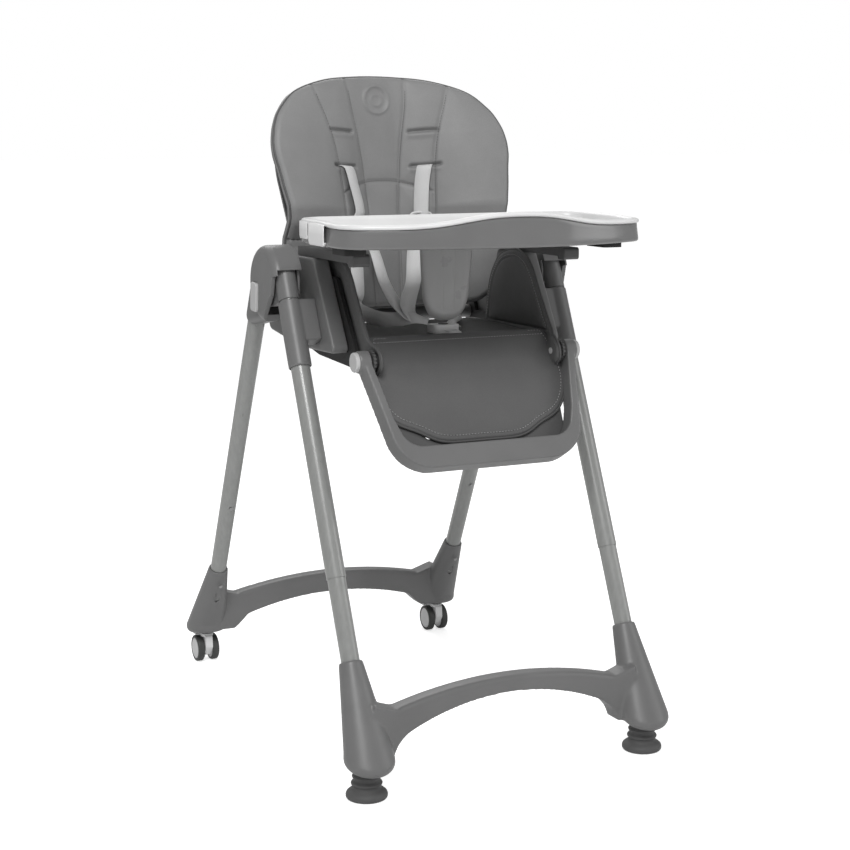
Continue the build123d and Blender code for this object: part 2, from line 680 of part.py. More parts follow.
def flat_strap(plane, points, depth):
    line = trace(Polyline(*points), line_width=STRAP_WIDTH)
    return extrude(plane.offset(depth) * line, amount=STRAP_THICKNESS)


def shoulder_straps():
    right = flat_strap(BACK_PLANE, [(63, 236), (58, 160), (24, 34)], 9)
    left = flat_strap(BACK_PLANE, [(-63, 236), (-24, 34)], 9)
    return Compound(children=[right, left])


def strap_slider():
    return BACK_PLANE * Pos(58.4, 166, 10) * (Box(34, 12, 5.4) - Box(STRAP_WIDTH + 1.6, 13, 3.4))


def waist_straps():
    right = flat_strap(Plane.XY, [(128, 0), (92, -66), (42, -112)], SEAT_TOP_Z + 4.2)
    return both_sides(right)


def crotch_strap():
    return flat_strap(Plane.XY, [(0, -192), (0, -152)], SEAT_TOP_Z + 1.5)


def buckle():
    body = Pos(0, -136, SEAT_TOP_Z + 9) * Box(46, 32, 13)
    body = fillet(body.edges().filter_by(Axis.Z), 8)
    return body - Pos(0, -136, SEAT_TOP_Z + 14) * Cylinder(8.3, 8)


def buckle_button():
    button = Pos(0, -136, SEAT_TOP_Z + 14.6) * Cylinder(8, 3.6)
    return fillet(button.edges().filter_by(GeomType.CIRCLE).sort_by(Axis.Z)[-1], 0.9)


def main():
    os.makedirs("parts", exist_ok=True)
    base = front_base()
    save("front_base", base)
    save("front_feet", both_sides(front_foot(base)))
    save_pair("front_leg_lower", front_leg_lower())
    save_pair("front_leg_upper", front_leg_upper())
    save_pair("front_collar", front_collar())
    save("fold_pins", fold_pins())
    save("collar_screws", collar_screws())
    save("rear_base", rear_base())
    save_pair("rear_leg", rear_leg())
    save("rear_screws", rear_screws())
    save_pair("shoulder_hood", shoulder_hood())
    save_pair("fold_button", fold_button())
    save_pair("caster_fork", caster_fork())
    save("caster_stems", both_sides(caster_stem()))
    save_pair("caster_axle", caster_axle())
    inner_hub, inner_tyre = caster_wheel(-1)
    outer_hub, outer_tyre = caster_wheel(1)
    save_pair("caster_hubs", Compound(children=[inner_hub, outer_hub]))
    save_pair("caster_tyres", Compound(children=[inner_tyre, outer_tyre]))
    save_pair("caster_brake", caster_brake())
    save_pair("height_sleeve", height_sleeve())
    save_pair("height_latch", height_latch())
    save_pair("side_panel", side_panel())
    save("armrests", both_sides(armrest()))
    save("seat_pan", seat_pan())
    save("footrest_ratchets", footrest_ratchets())
    save("seat_pad", seat_pad())
    save_pair("seat_wing", seat_wing())
    save("footrest_frame", footrest_frame())
    save("footrest_caps", both_sides(footrest_cap()))
    shift, plate = footrest_plate()
    save("footrest_plate", Pos(shift) * plate)
    save("leg_flap", leg_flap())
    save("backrest_pad", backrest_pad())
    save("backrest_shell", backrest_shell())
    save("recline_pin", recline_pin())
    save("recline_handle", recline_handle())
    save("tray", tray())
    save("insert_tray", insert_tray())
    save("crotch_guard", crotch_guard())
    save_pair("tray_latch", tray_latch())
    save("shoulder_straps", shoulder_straps())
    save("strap_slider", strap_slider())
    save("waist_straps", waist_straps())
    save("crotch_strap", crotch_strap())
    save("buckle", buckle())
    save("buckle_button", buckle_button())


main()
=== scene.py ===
"""Looks of a folding baby high chair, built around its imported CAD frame."""

import json  # noqa: E402
import math  # noqa: E402

import bmesh  # noqa: E402
import bpy  # noqa: E402
import numpy as np  # noqa: E402
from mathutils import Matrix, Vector  # noqa: E402

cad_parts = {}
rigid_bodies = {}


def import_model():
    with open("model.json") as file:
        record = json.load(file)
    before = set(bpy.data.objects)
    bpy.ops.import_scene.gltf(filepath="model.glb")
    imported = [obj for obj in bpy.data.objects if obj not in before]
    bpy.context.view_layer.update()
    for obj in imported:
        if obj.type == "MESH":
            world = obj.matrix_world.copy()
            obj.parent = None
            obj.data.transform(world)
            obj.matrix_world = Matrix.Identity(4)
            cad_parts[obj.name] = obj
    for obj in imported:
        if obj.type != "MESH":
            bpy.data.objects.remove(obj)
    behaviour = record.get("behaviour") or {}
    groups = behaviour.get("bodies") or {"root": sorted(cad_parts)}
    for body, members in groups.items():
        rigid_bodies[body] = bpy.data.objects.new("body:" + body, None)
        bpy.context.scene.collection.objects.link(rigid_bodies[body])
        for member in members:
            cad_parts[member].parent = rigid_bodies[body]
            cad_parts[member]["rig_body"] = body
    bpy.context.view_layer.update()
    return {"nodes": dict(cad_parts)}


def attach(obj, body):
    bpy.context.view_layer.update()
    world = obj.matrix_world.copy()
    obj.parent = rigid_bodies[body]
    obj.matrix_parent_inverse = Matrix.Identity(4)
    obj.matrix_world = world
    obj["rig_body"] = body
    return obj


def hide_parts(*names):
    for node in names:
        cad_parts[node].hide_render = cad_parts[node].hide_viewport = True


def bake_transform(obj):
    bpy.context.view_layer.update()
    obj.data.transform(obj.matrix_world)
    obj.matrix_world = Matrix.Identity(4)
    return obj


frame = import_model()
NODES = frame["nodes"]
MM = 0.001
WELD_GAP = 0.00002  # metres within which CAD points count as one
PAD_WELD_GAP = 0.00001
BEVEL_ANGLE = math.radians(35)
SPLIT_ANGLE = math.radians(32)

# ---------------------------------------------------------------- materials


def linear(grey, tint=(1.0, 1.0, 1.0)):
    """A display grey from 0 to 255 as a linear colour."""
    s = grey / 255
    v = s / 12.92 if s <= 0.04045 else ((s + 0.055) / 1.055) ** 2.4
    return (v * tint[0], v * tint[1], v * tint[2], 1.0)


class Graph:
    """Short names for building a node material."""

    def __init__(self, name):
        self.material = bpy.data.materials.new(name)
        self.material.use_nodes = True
        self.tree = self.material.node_tree
        self.shader = self.tree.nodes["Principled BSDF"]

    def node(self, kind, **values):
        made = self.tree.nodes.new(kind)
        for key, value in values.items():
            if key in made.inputs:
                made.inputs[key].default_value = value
            else:
                setattr(made, key, value)
        return made

    def link(self, source, target):
        self.tree.links.new(source, target)

    def coords(self, kind="Object"):
        return self.node("ShaderNodeTexCoord").outputs[kind]

    def noise(self, scale, detail=3.0, coords=None, roughness=0.55):
        made = self.node("ShaderNodeTexNoise", Scale=scale, Detail=detail, Roughness=roughness)
        self.link(coords or self.coords(), made.inputs["Vector"])
        return made.outputs["Fac"]

    def ramp(self, value, low, high, start=0.3, end=0.7):
        made = self.node("ShaderNodeValToRGB")
        made.color_ramp.elements[0].position = start
        made.color_ramp.elements[0].color = low
        made.color_ramp.elements[1].position = end
        made.color_ramp.elements[1].color = high
        self.link(value, made.inputs["Fac"])
        return made.outputs["Color"]

    def spread(self, value, low, high):
        made = self.node("ShaderNodeMapRange")
        made.inputs["To Min"].default_value = low
        made.inputs["To Max"].default_value = high
        self.link(value, made.inputs["Value"])
        return made.outputs["Result"]

    def math(self, operation, a, b=None):
        made = self.node("ShaderNodeMath", operation=operation)
        for slot, value in enumerate((a, b)):
            if isinstance(value, (int, float)):
                made.inputs[slot].default_value = value
            elif value is not None:
                self.link(value, made.inputs[slot])
        return made.outputs[0]

    def bump(self, height, strength, distance, normal=None):
        made = self.node("ShaderNodeBump", Strength=strength, Distance=distance)
        self.link(height, made.inputs["Height"])
        if normal:
            self.link(normal, made.inputs["Normal"])
        return made.outputs["Normal"]

    def edge_highlight(self, colour, amount, highlight_colour):
        """Convex edges painted lighter in colour: a painted highlight where edges would catch light."""
        # lightens convex edges by pointiness: painted highlight, not wear
        point = self.node("ShaderNodeNewGeometry").outputs["Pointiness"]
        edge = self.ramp(point, (0, 0, 0, 1), (1, 1, 1, 1), 0.51, 0.58)
        mix = self.node("ShaderNodeMix", data_type="RGBA")
        self.link(self.math("MULTIPLY", edge, amount), mix.inputs["Factor"])
        self.link(colour, mix.inputs["A"])
        mix.inputs["B"].default_value = highlight_colour
        return mix.outputs["Result"]

    def finish(self, colour, roughness, normal, **settings):
        self.link(colour, self.shader.inputs["Base Color"])
        self.link(roughness, self.shader.inputs["Roughness"])
        self.link(normal, self.shader.inputs["Normal"])
        for key, value in settings.items():
            self.shader.inputs[key.replace("_", " ")].default_value = value
        return self.material


def moulded(name, grey, rough=(0.34, 0.46), grain=900, grain_depth=0.00006, tint=(1, 1, 1), edge_light=0.35,
            **settings):
    """Injection-moulded plastic: fine spark grain, faint flow shading and a painted highlight along its convex
    edges.
    """
    g = Graph(name)
    base, pale = linear(grey, tint), linear(min(255, grey * 1.12), tint)
    colour = g.ramp(g.noise(9, 2), linear(grey * 0.97, tint), linear(grey * 1.03, tint))
    # convex edges painted lighter: painted highlight
    if edge_light:
        colour = g.edge_highlight(colour, edge_light, pale)
    fine = g.noise(grain, 2)
    wide = g.noise(60, 3)
    normal = g.bump(fine, 0.5, grain_depth, g.bump(wide, 0.25, 0.0003))
    g.material.diffuse_color = base
    return g.finish(colour, g.spread(g.noise(35, 4), *rough), normal, **settings)


def leatherette(name, grey, grain=620, depth=0.00022, rough=(0.42, 0.56)):
    """Soft coated cloth with pebbled grain and shallow wrinkles."""
    g = Graph(name)
    coords = g.coords()
    warp = g.node("ShaderNodeVectorMath", operation="MULTIPLY_ADD")
    drift = g.node("ShaderNodeTexNoise", Scale=120, Detail=2)
    g.link(coords, drift.inputs["Vector"])
    g.link(drift.outputs["Color"], warp.inputs[0])
    warp.inputs[1].default_value = (0.003, 0.003, 0.003)
    g.link(coords, warp.inputs[2])
    cells = g.node("ShaderNodeTexVoronoi", Scale=grain, feature="DISTANCE_TO_EDGE")
    g.link(warp.outputs[0], cells.inputs["Vector"])
    pebble = g.ramp(cells.outputs["Distance"], (0, 0, 0, 1), (1, 1, 1, 1), 0.0, 0.35)
    wrinkle = g.noise(28, 4)
    normal = g.bump(pebble, 0.4, depth, g.bump(wrinkle, 0.3, 0.0016))
    colour = g.ramp(g.noise(7, 4), linear(grey * 0.95), linear(grey * 1.04))
    # colour darkened in the crevices between the pebbles: painted shade in the grain's hollows
    crevice_shade = g.node("ShaderNodeMix", data_type="RGBA", blend_type="MULTIPLY")
    crevice_shade.inputs["Factor"].default_value = 0.12
    g.link(colour, crevice_shade.inputs["A"])
    g.link(pebble, crevice_shade.inputs["B"])
    # convex edges painted lighter: painted highlight
    colour = g.edge_highlight(crevice_shade.outputs["Result"], 0.2, linear(grey * 1.1))
    return g.finish(colour, g.spread(g.noise(90, 4), *rough), normal)


def coated_tube(name, grey):
    """Powder-coated steel tube: satin, with fine orange peel and a few rubbed marks along it."""
    g = Graph(name)
    peel = g.noise(420, 2)
    stretch = g.node("ShaderNodeMapping")
    stretch.inputs["Scale"].default_value = (160, 160, 9)
    g.link(g.coords(), stretch.inputs["Vector"])
    marks = g.noise(1.0, 5, stretch.outputs["Vector"])
    tint = (0.985, 1.0, 0.975)
    colour = g.ramp(marks, linear(grey * 0.97, tint), linear(grey * 1.03, tint))
    normal = g.bump(peel, 0.25, 0.00008)
    return g.finish(colour, g.spread(marks, 0.24, 0.36), normal, Metallic=0.1, Coat_Weight=0.35,
                    Coat_Roughness=0.18)


def webbing(name, grey):
    """Flat woven strap. U runs across it and V along it, both in millimetres."""
    g = Graph(name)
    uv = g.node("ShaderNodeUVMap").outputs["UV"]
    split = g.node("ShaderNodeSeparateXYZ")
    g.link(uv, split.inputs[0])
    across, length = split.outputs[0], split.outputs[1]
    u = g.math("MULTIPLY", across, 2 * math.pi / 1.5)
    v = g.math("MULTIPLY", length, 2 * math.pi / 2.0)
    weave = g.math("MULTIPLY", g.math("SINE", g.math("ADD", u, v)), g.math("SINE", g.math("SUBTRACT", u, v)))
    fuzz = g.noise(1400, 2)
    height = g.math("ADD", weave, g.math("MULTIPLY", fuzz, 0.6))
    normal = g.bump(height, 0.45, 0.00022)
    colour = g.ramp(g.spread(weave, 0, 1), linear(grey * 0.9), linear(grey * 1.03), 0.1, 0.7)
    return g.finish(colour, g.spread(fuzz, 0.6, 0.8), normal, Sheen_Weight=0.25)


def brushed(name, grey):
    """Plated steel with fine lines across it."""
    g = Graph(name)
    stretch = g.node("ShaderNodeMapping")
    stretch.inputs["Scale"].default_value = (30, 900, 900)
    g.link(g.coords(), stretch.inputs["Vector"])
    lines = g.noise(1.0, 3, stretch.outputs["Vector"])
    colour = g.ramp(lines, linear(grey * 0.9), linear(grey))
    return g.finish(colour, g.spread(lines, 0.2, 0.4), g.bump(lines, 0.2, 0.00005), Metallic=1.0)


def thread(name, grey):
    """Twisted sewing thread."""
    g = Graph(name)
    twist = g.noise(2600, 2)
    colour = g.ramp(twist, linear(grey * 0.85), linear(grey * 1.1))
    return g.finish(colour, g.spread(twist, 0.55, 0.75), g.bump(twist, 0.5, 0.00015))


MAT = {
    "hard": moulded("hard_plastic", 110),
    "hard_dark": moulded("dark_plastic", 48, rough=(0.42, 0.58)),
    # footrest plate, armrests and ratchets: the hard plastic in a darker grey, painted shade for where they sit
    # in shadow
    "painted_shade_grey": moulded("painted_shade_plastic", 84, rough=(0.4, 0.55)),
    "button": moulded("button_plastic", 186, rough=(0.3, 0.42)),
    "black": moulded("black_plastic", 26, rough=(0.5, 0.65)),
    "tray": moulded("tray_plastic", 112, rough=(0.16, 0.26), grain_depth=0.00002, Coat_Weight=0.4,
                    Coat_Roughness=0.1),
    "guard": moulded("guard_plastic", 160, rough=(0.24, 0.34), grain_depth=0.00003, edge_light=0),
    "light": moulded("light_plastic", 222, rough=(0.25, 0.38)),
    "disc": moulded("disc_plastic", 205, rough=(0.3, 0.42)),
    "tube": coated_tube("tube_coat", 146),
    "back": leatherette("back_leatherette", 138),
    "seat": leatherette("seat_leatherette", 96),
    "binding": leatherette("binding_leatherette", 88, grain=900, depth=0.0001),
    "web": webbing("strap_webbing", 224),
    "rubber": moulded("foot_rubber", 80, rough=(0.55, 0.7), grain=1500, grain_depth=0.0001),
    "tyre": moulded("tyre_rubber", 66, rough=(0.45, 0.6), tint=(0.97, 1, 0.96)),
    "steel": brushed("plated_steel", 170),
    "stitch_dark": thread("stitch_dark", 66),
    "stitch_pale": thread("stitch_pale", 172),
}

# ---------------------------------------------------------------- mesh helpers


def new_object(name, verts, faces, material, body):
    """A smooth-shaded mesh from points in millimetres."""
    mesh = bpy.data.meshes.new(name)
    mesh.from_pydata((np.asarray(verts, float) * MM).tolist(), [], [list(map(int, f)) for f in faces])
    mesh.validate()
    for p in mesh.polygons:
        p.use_smooth = True
    obj = bpy.data.objects.new(name, mesh)
    bpy.context.scene.collection.objects.link(obj)
    obj.data.materials.append(MAT[material])
    if body:
        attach(obj, body)
    return obj


def apply_modifiers(obj):
    bpy.context.view_layer.update()
    graph = bpy.context.evaluated_depsgraph_get()
    mesh = bpy.data.meshes.new_from_object(obj.evaluated_get(graph))
    obj.modifiers.clear()
    obj.data = mesh
    return obj


def shade(obj):
    for p in obj.data.polygons:
        p.use_smooth = True
    return obj


def copy_of(node, name):
    """A welded copy of a CAD node's mesh."""
    mesh = NODES[node].data.copy()
    obj = bpy.data.objects.new(name, mesh)
    bpy.context.scene.collection.objects.link(obj)
    mesh.materials.clear()
    work = bmesh.new()
    work.from_mesh(mesh)
    bmesh.ops.remove_doubles(work, verts=work.verts, dist=WELD_GAP)
    work.to_mesh(mesh)
    work.free()
    return obj


def softened(node, material, voxel=0.002, rounds=6):
    """The CAD node with its edges rounded and its inside corners filleted, as a moulding has them."""
    obj = copy_of(node, node + "_moulded")
    remesh = obj.modifiers.new("remesh", "REMESH")
    remesh.mode = "VOXEL"
    remesh.voxel_size = voxel
    smooth = obj.modifiers.new("smooth", "SMOOTH")
    smooth.factor = 0.5
    smooth.iterations = rounds
    apply_modifiers(obj)
    shade(obj)
    obj.data.materials.clear()
    obj.data.materials.append(MAT[material])
    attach(obj, NODES[node]["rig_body"])
    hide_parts(node)
    return obj


def bevelled(node, material, width=0.8, segments=3):
    """The CAD node itself, with its sharp edges broken."""
    obj = NODES[node]
    paint(node, material)
    weld = obj.modifiers.new("weld", "WELD")
    weld.merge_threshold = WELD_GAP
    bevel = obj.modifiers.new("bevel", "BEVEL")
    bevel.width = width * MM
    bevel.segments = segments
    bevel.limit_method = "ANGLE"
    bevel.angle_limit = BEVEL_ANGLE
    bevel.harden_normals = False
    return obj


def paint(node, material):
    """The CAD node itself, smooth-shaded between its sharp edges."""
    obj = NODES[node]
    obj.data.materials.clear()
    obj.data.materials.append(MAT[material])
    for p in obj.data.polygons:
        p.use_smooth = True
    smooth = obj.modifiers.new("smooth_by_angle", "EDGE_SPLIT")
    smooth.split_angle = SPLIT_ANGLE
    return obj


def grid_faces(rows, columns, wrap=False):
    """Quads of a grid stored row by row; wrap joins the last column to the first."""
    faces = []
    last = columns if wrap else columns - 1
    for r in range(rows - 1):
        for c in range(last):
            d = (c + 1) % columns
            faces.append((r * columns + c, r * columns + d, (r + 1) * columns + d, (r + 1) * columns + c))
    return faces


def resample(points, count, closed=False):
    """The same line with evenly spaced points."""
    p = np.asarray(points, float)
    if closed:
        p = np.vstack([p, p[:1]])
    steps = np.r_[0, np.cumsum(np.linalg.norm(np.diff(p, axis=0), axis=1))]
    at = np.linspace(0, steps[-1], count, endpoint=not closed)
    return np.stack([np.interp(at, steps, p[:, k]) for k in range(p.shape[1])], 1)


def curve(points, count=80, closed=False):
    """A smooth line through the points (uniform Catmull-Rom), evenly sampled."""
    p = np.asarray(points, float)
    n = len(p)
    if closed:
        ext = np.vstack([p[-1:], p, p[:2]])
        spans = n
    else:
        ext = np.vstack([2 * p[0] - p[1], p, 2 * p[-1] - p[-2]])
        spans = n - 1
    t = np.linspace(0, 1, 24, endpoint=False)[:, None]
    parts = []
    for i in range(spans):
        a, b, c, d = ext[i], ext[i + 1], ext[i + 2], ext[i + 3]
        parts.append(0.5 * (2 * b + (c - a) * t + (2 * a - 5 * b + 4 * c - d) * t**2
                            + (3 * b - a - 3 * c + d) * t**3))
    line = np.vstack(parts)
    if not closed:
        line = np.vstack([line, p[-1:]])
    return resample(line, count, closed)


def smooth_loop(points, rounds):
    """A closed loop with its corners eased."""
    p = np.asarray(points, float)
    for _ in range(rounds):
        p = (np.roll(p, 1, 0) + 2 * p + np.roll(p, -1, 0)) / 4
    return p


def distance_to(points, line, closed=False):
    """Distance of each 2D point to a polyline."""
    p = np.asarray(line, float)
    if closed:
        p = np.vstack([p, p[:1]])
    a, b = p[:-1], p[1:]
    d = b - a
    best = np.full(len(points), 1e9)
    for s, v in zip(a, d):
        t = np.clip(((points - s) @ v) / max(v @ v, 1e-9), 0, 1)
        best = np.minimum(best, np.linalg.norm(points - (s + t[:, None] * v), axis=1))
    return best


def tube_along(name, path, radius, material, body, closed=False, sides=10, up=None):
    """A round tube along a line of 3D points in millimetres."""
    p = np.asarray(path, float)
    n = len(p)
    ahead = np.roll(p, -1, 0) - np.roll(p, 1, 0) if closed else np.gradient(p, axis=0)
    ahead /= np.linalg.norm(ahead, axis=1)[:, None] + 1e-9
    ref = np.array([0.0, 0, 1]) if up is None else np.asarray(up, float)
    side = np.cross(ahead, ref)
    bad = np.linalg.norm(side, axis=1) < 1e-3
    side[bad] = np.cross(ahead[bad], [1.0, 0, 0])
    side /= np.linalg.norm(side, axis=1)[:, None]
    lift = np.cross(side, ahead)
    r = np.broadcast_to(np.asarray(radius, float), (n,))
    angle = np.linspace(0, 2 * math.pi, sides, endpoint=False)
    ring = (p[:, None] + side[:, None] * np.cos(angle)[None, :, None] * r[:, None, None]
            + lift[:, None] * np.sin(angle)[None, :, None] * r[:, None, None])
    verts = ring.reshape(-1, 3)
    if closed:
        faces = grid_faces(n + 1, sides, True)
        faces = [[v % len(verts) for v in f] for f in faces]
    else:
        faces = grid_faces(n, sides, True) + [list(range(sides))[::-1],
                                              [len(verts) - sides + k for k in range(sides)]]
    return new_object(name, verts, faces, material, body)


def stitches(name, path, normal, material, body, length=3.2, gap=2.2, radius=0.55):
    """A row of sewn stitches: each one a small raised grain of thread along the line."""
    p = np.asarray(path, float)
    steps = np.r_[0, np.cumsum(np.linalg.norm(np.diff(p, axis=0), axis=1))]
    count = max(1, int(steps[-1] / (length + gap)))
    normals = np.asarray(normal, float)
    if normals.ndim == 1:
        normals = np.tile(normals, (len(p), 1))
    verts, faces = [], []
    for i in range(count):
        mid = (i + 0.5) * steps[-1] / count
        ends = [np.array([np.interp(mid + s * length / 2, steps, p[:, k]) for k in range(3)])
                for s in (-1, 1)]
        n = np.array([np.interp(mid, steps, normals[:, k]) for k in range(3)])
        n /= np.linalg.norm(n) + 1e-9
        along = ends[1] - ends[0]
        size = np.linalg.norm(along)
        if size < 1e-6:
            continue
        along /= size
        side = np.cross(along, n)
        side /= np.linalg.norm(side) + 1e-9
        base = len(verts)
        for t, swell in ((-0.5, 0.35), (-0.3, 0.9), (0, 1.0), (0.3, 0.9), (0.5, 0.35)):
            centre = (ends[0] + ends[1]) / 2 + along * t * size + n * (radius * swell * 0.7)
            for k in range(6):
                a = k * math.pi / 3
                verts.append(centre + (side * math.cos(a) + n * math.sin(a)) * radius * swell)
        for r in range(4):
            for k in range(6):
                faces.append((base + r * 6 + k, base + r * 6 + (k + 1) % 6, base + (r + 1) * 6 + (k + 1) % 6,
                              base + (r + 1) * 6 + k))
        faces.append([base + k for k in range(6)][::-1])
        faces.append([base + 24 + k for k in range(6)])
    return new_object(name, verts, faces, material, body)


def lathe(name, profile, centre, material, body, segments=72, axis=(0, 0, 1)):
    """A turned shape: profile is (radius, height) pairs from one end to the other, along axis from centre."""
    profile = np.asarray(profile, float)
    z = Vector(axis).normalized()
    x = z.orthogonal().normalized()
    y = z.cross(x)
    verts = []
    for r, h in profile:
        for k in range(segments):
            a = 2 * math.pi * k / segments
            q = Vector(centre) + z * float(h) + (x * math.cos(a) + y * math.sin(a)) * float(max(r, 0.01))
            verts.append(q)
    faces = grid_faces(len(profile), segments, True)
    faces.append(list(range(segments))[::-1])
    faces.append([(len(profile) - 1) * segments + k for k in range(segments)])
    return new_object(name, verts, faces, material, body)


def pad(name, outline, place, thick, edge, back, material, body, seams=(), groove=(2.2, 2.6),
        puff=(1.5, 12.0), extra=None, rings=80, behind=None):
    """A closed cushion over a star-shaped outline in (x, s) millimetres.

    place(points, height) puts a point into space. thick and edge give the front's height and the radius of
    its rounded edge, back the depth behind. seams are polylines where the cover is sewn down.
    """
    rim = np.asarray(outline, float)
    n = len(rim)
    middle = rim.mean(0)
    t = 1 - (1 - np.linspace(0, 1, rings)) ** 1.6
    flat = (middle + t[:, None, None] * (rim - middle)[None]).reshape(-1, 2)
    border = distance_to(flat, rim, closed=True)
    border[-n:] = 0
    front = thick * np.sqrt(np.clip(1 - (1 - np.minimum(border / edge, 1)) ** 2, 0, 1))
    seam_gap = np.full(len(flat), 1e6)
    for line in seams:
        seam_gap = np.minimum(seam_gap, distance_to(flat, line))
    front += puff[0] * (1 - np.exp(-np.minimum(border, seam_gap) / puff[1]))
    front -= groove[0] * np.exp(-((seam_gap / groove[1]) ** 2))
    if extra is not None:
        front += extra(flat)
    depth = -back * np.sqrt(np.clip(1 - (1 - np.minimum(border / (edge * 0.7), 1)) ** 2, 0, 1))
    top = place(flat, front)
    bottom = (behind or place)(flat[:-n], depth[:-n])
    verts = np.vstack([top, bottom])
    faces = [f[::-1] for f in grid_faces(rings, n, True)]
    offset = len(top)
    faces += [[v + offset for v in f] for f in grid_faces(rings - 1, n, True)]
    for k in range(n):
        j = (k + 1) % n
        faces.append(((rings - 1) * n + k, (rings - 1) * n + j, offset + (rings - 2) * n + j,
                      offset + (rings - 2) * n + k))
    obj = new_object(name, verts, faces, material, body)
    work = bmesh.new()
    work.from_mesh(obj.data)
    bmesh.ops.remove_doubles(work, verts=work.verts, dist=PAD_WELD_GAP)
    bmesh.ops.recalc_face_normals(work, faces=work.faces)
    work.to_mesh(obj.data)
    work.free()
    return obj


def strap(name, path, across, width, body, thick=1.6, material="web"):
    """A flat strap along a smooth 3D line; across gives the width direction at each point."""
    p = np.asarray(path, float)
    w = np.asarray(across, float)
    ahead = np.gradient(p, axis=0)
    ahead /= np.linalg.norm(ahead, axis=1)[:, None]
    w = w - (w * ahead).sum(1)[:, None] * ahead
    w /= np.linalg.norm(w, axis=1)[:, None]
    out = np.cross(w, ahead)
    half = width / 2
    section = [(-half, 0), (-half + 0.5, thick / 2), (-half * 0.5, thick / 2), (0, thick / 2),
               (half * 0.5, thick / 2), (half - 0.5, thick / 2), (half, 0), (half - 0.5, -thick / 2),
               (0, -thick / 2), (-half + 0.5, -thick / 2)]
    verts = np.array([[q + a * d + b * o for d, o in section] for q, a, b in zip(p, w, out)]).reshape(-1, 3)
    count = len(section)
    faces = grid_faces(len(p), count, True)
    faces.append(list(range(count))[::-1])
    faces.append([len(verts) - count + k for k in range(count)])
    obj = new_object(name, verts, faces, material, body)
    length = np.r_[0, np.cumsum(np.linalg.norm(np.diff(p, axis=0), axis=1))]
    layer = obj.data.uv_layers.new(name="strap")
    for loop in obj.data.loops:
        row, col = divmod(loop.vertex_index, count)
        layer.data[loop.index].uv = (section[col][0], length[row])
    return obj


def inset_loop(points, amount):
    """A closed smooth 2D loop moved inwards by amount."""
    p = np.asarray(points, float)
    t = np.roll(p, -1, 0) - np.roll(p, 1, 0)
    t /= np.linalg.norm(t, axis=1)[:, None] + 1e-9
    area = 0.5 * np.sum(p[:, 0] * np.roll(p[:, 1], -1) - np.roll(p[:, 0], -1) * p[:, 1])
    inward = np.stack([-t[:, 1], t[:, 0]], 1) * (1 if area > 0 else -1)
    return p + inward * amount


def mirrored_loop(right, count):
    """A closed loop from the points of its right half, listed from bottom centre to top centre."""
    right = np.asarray(right, float)
    left = right[::-1] * [-1, 1]
    both = np.vstack([right, left[1:-1] if abs(right[-1, 0]) < 1e-6 else left])
    return curve(both, count, closed=True)


def step(t):
    """A smooth rise from 0 to 1."""
    t = np.clip(t, 0, 1)
    return t * t * (3 - 2 * t)


# ---------------------------------------------------------------- backrest

LEAN = math.radians(9.0)
BACK_BASE = np.array([0, 66.0, 665.0])
BACK_UP = np.array([0, math.sin(LEAN), math.cos(LEAN)])
BACK_OUT = np.array([0, -math.cos(LEAN), math.sin(LEAN)])
ACROSS = np.array([1.0, 0, 0])
SLOT_LOW, SLOT_HIGH, SLOT_X = 240.0, 298.0, 78.0
SLOT_HALF = 21
MEDALLION = [0, 352]
WRAP_HEIGHTS = [0, 110, 124, 138, 150, 170, 290, 345, 393]
WRAP_REACH = [40, 48, 52, 66, 78, 84, 62, 46, 30]


def back_wrap(x, s):
    """How far the cover comes forward: flat in the middle, curling forward at the sides."""
    beyond = np.sqrt(np.clip(np.abs(x) - 25, 0, None) ** 2 + 15**2) - 15
    curl = 1 - np.clip(1 - beyond / 176, 0, 1) ** 1.6
    reach = np.interp(s, WRAP_HEIGHTS, WRAP_REACH)
    return reach * curl - 6 * np.clip((s - 345) / 47, 0, 1) ** 2


def back_place(points, height):
    x, s = points[:, 0], points[:, 1]
    e = 0.5
    tilt_x = (back_wrap(x + e, s) - back_wrap(x - e, s)) / (2 * e)
    tilt_s = (back_wrap(x, s + e) - back_wrap(x, s - e)) / (2 * e)
    normal = BACK_OUT - tilt_x[:, None] * ACROSS - tilt_s[:, None] * BACK_UP
    normal /= np.linalg.norm(normal, axis=1)[:, None]
    out = (back_wrap(x, s) - 11)[:, None] * BACK_OUT
    return BACK_BASE + x[:, None] * ACROSS + s[:, None] * BACK_UP + out + normal * height[:, None]


def back_behind(points, height):
    """The rear of the cover lies against the flat shell, and meets the front again along the curled sides."""
    x, s = points[:, 0], points[:, 1]
    side = np.clip(np.abs(x) - 40, 0, None) / 175
    shell = 60 * side**1.7 * (1 - 0.5 * step((s - 200) / 190)) - 6 * np.clip((s - 345) / 47, 0, 1) ** 2
    curled = step((np.abs(x) - 150) / 50)
    rear = shell + curled * (back_wrap(x, s) - shell - 2)
    out = (rear - 11 + height * 0.83)[:, None] * BACK_OUT
    return BACK_BASE + x[:, None] * ACROSS + s[:, None] * BACK_UP + out


def on_back(points, height):
    p = np.asarray(points, float)
    return back_place(p, np.full(len(p), float(height)))


def back_normal(points):
    return on_back(points, 1.0) - on_back(points, 0.0)


